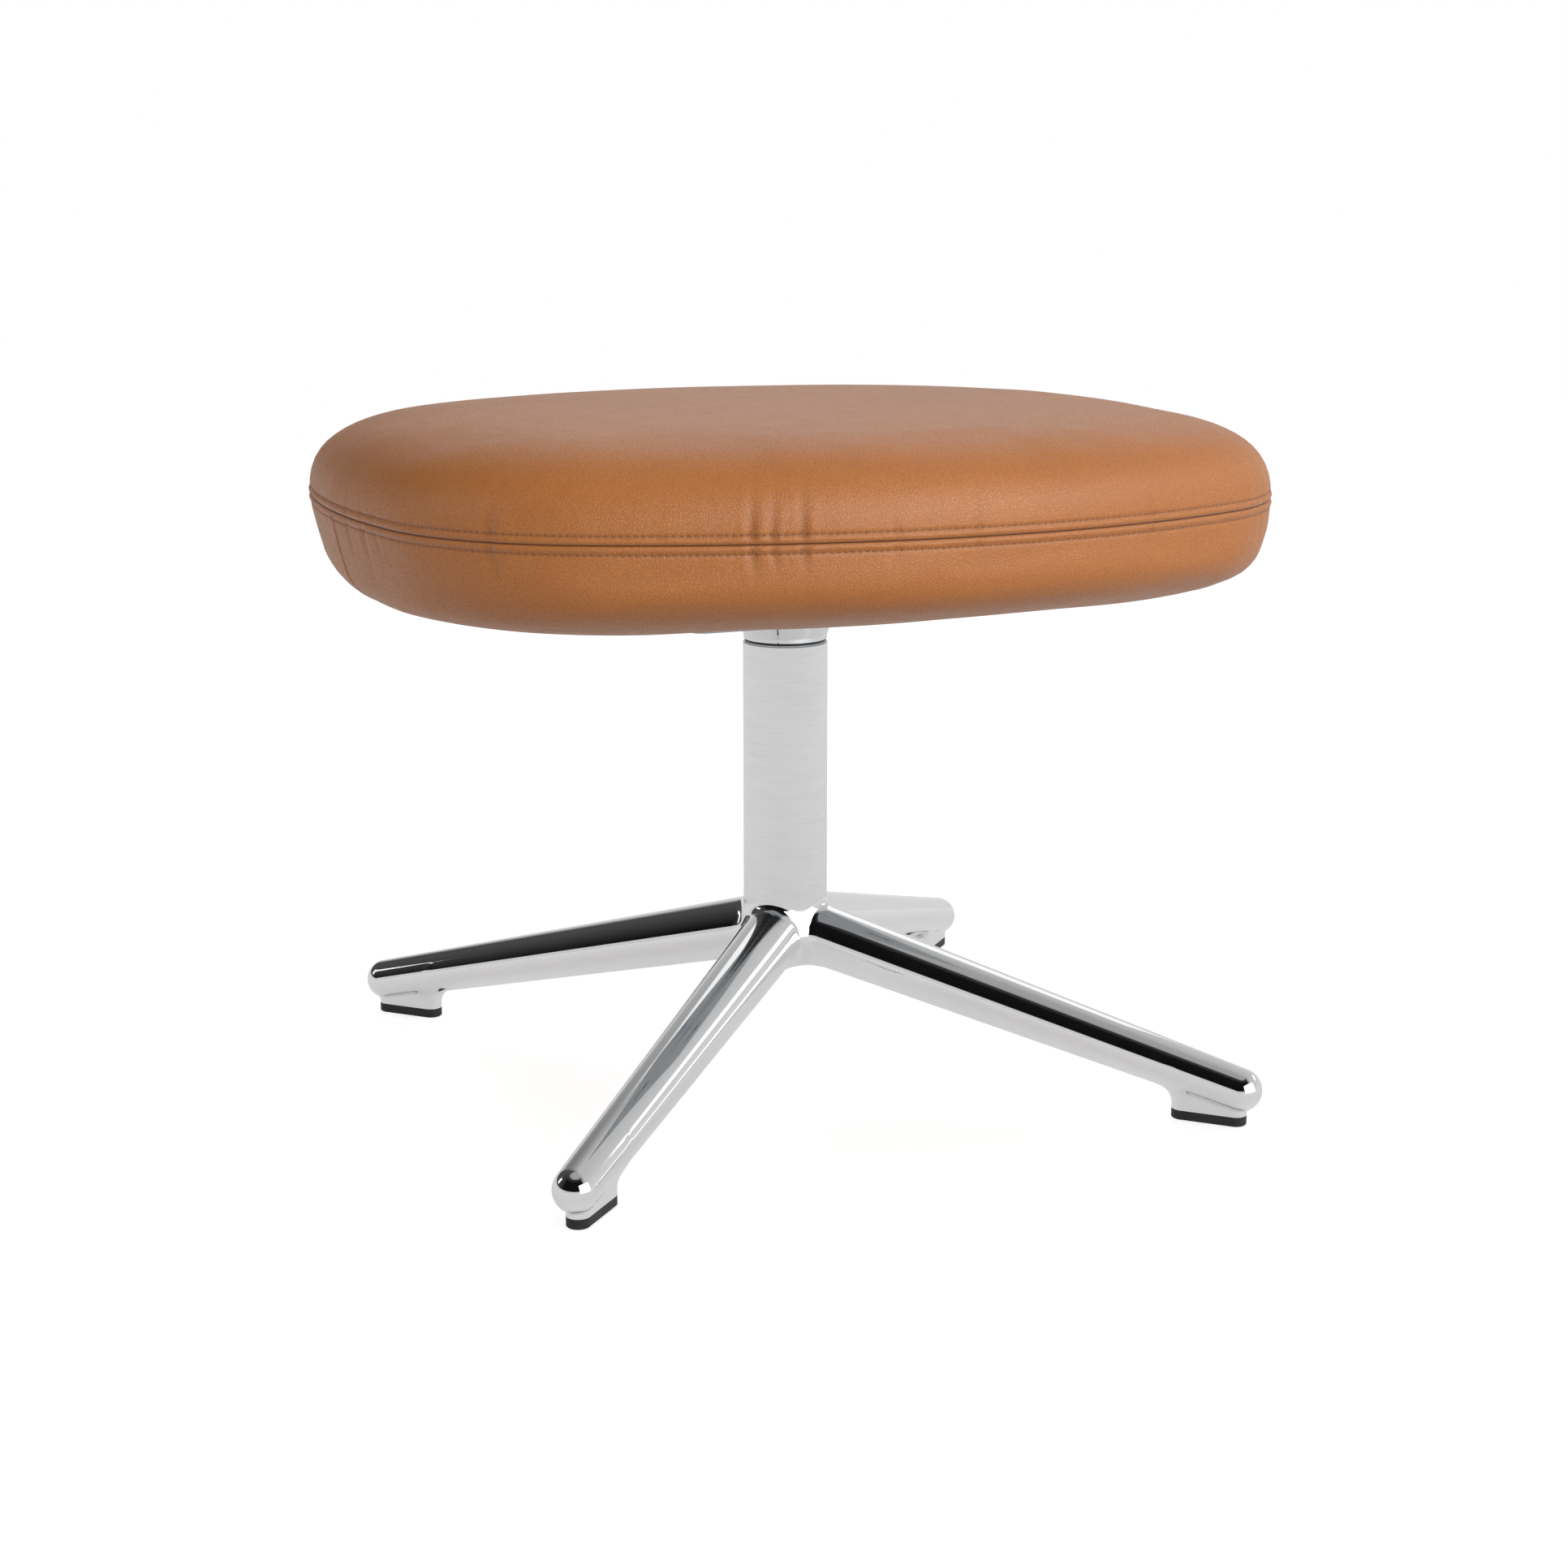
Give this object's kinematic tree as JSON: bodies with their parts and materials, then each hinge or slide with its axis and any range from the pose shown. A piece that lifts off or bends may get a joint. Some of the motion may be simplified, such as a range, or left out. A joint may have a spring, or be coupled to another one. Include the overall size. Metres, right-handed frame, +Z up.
{
  "type": "swivel footstool",
  "caption": "Footstool with a crowned leather cushion that swivels on a round column over a cast star base with straight tapered legs and black glides.",
  "frame": {"origin": "on the floor, under the centre of the column", "axes": "+X along the cushion's long axis, +Y along its short axis, +Z up"},
  "size_m": [0.5332, 0.4648, 0.4002],
  "materials": {
    "leather": "pebble-grained tan leather, semi-matt",
    "polished_aluminium": "polished casting",
    "brushed_column": "brushed round the column",
    "satin_aluminium": "satin",
    "plate_grey": "light grey powder coat",
    "black_plastic": "matt black nylon",
    "zinc_steel": "bright zinc plate",
    "plywood": "raw birch plywood",
    "foam": "cut polyurethane foam",
    "black_cloth": "black spun-bonded cloth"
  },
  "bodies": {
    "base": {"star_base": "polished_aluminium", "foot_glide_1": "black_plastic", "foot_glide_2": "black_plastic", "foot_glide_3": "black_plastic", "foot_glide_4": "black_plastic", "glide_screws": "zinc_steel", "column_tube": "brushed_column", "column_plug": "zinc_steel", "base_bolt": "zinc_steel", "base_washer": "zinc_steel", "lower_bushing": "black_plastic", "upper_bushing": "black_plastic", "thrust_washer": "zinc_steel"},
    "seat": {"spindle": "zinc_steel", "retaining_ring": "zinc_steel", "spindle_washer": "zinc_steel", "swivel_collar": "satin_aluminium", "mounting_plate": "plate_grey", "plate_screws": "zinc_steel", "plate_washers": "zinc_steel", "tee_nuts": "zinc_steel", "seat_board": "plywood", "foam_core": "foam", "top_cover": "leather", "side_cover": "leather", "dust_cover": "black_cloth", "staples": "zinc_steel"}
  },
  "joints": [
    {"name": "seat_swivel", "type": "hinge", "parent": "base", "child": "seat", "pos_m": [0, 0, 0.263], "axis": [0, 0, 1], "continuous": true}
  ]
}
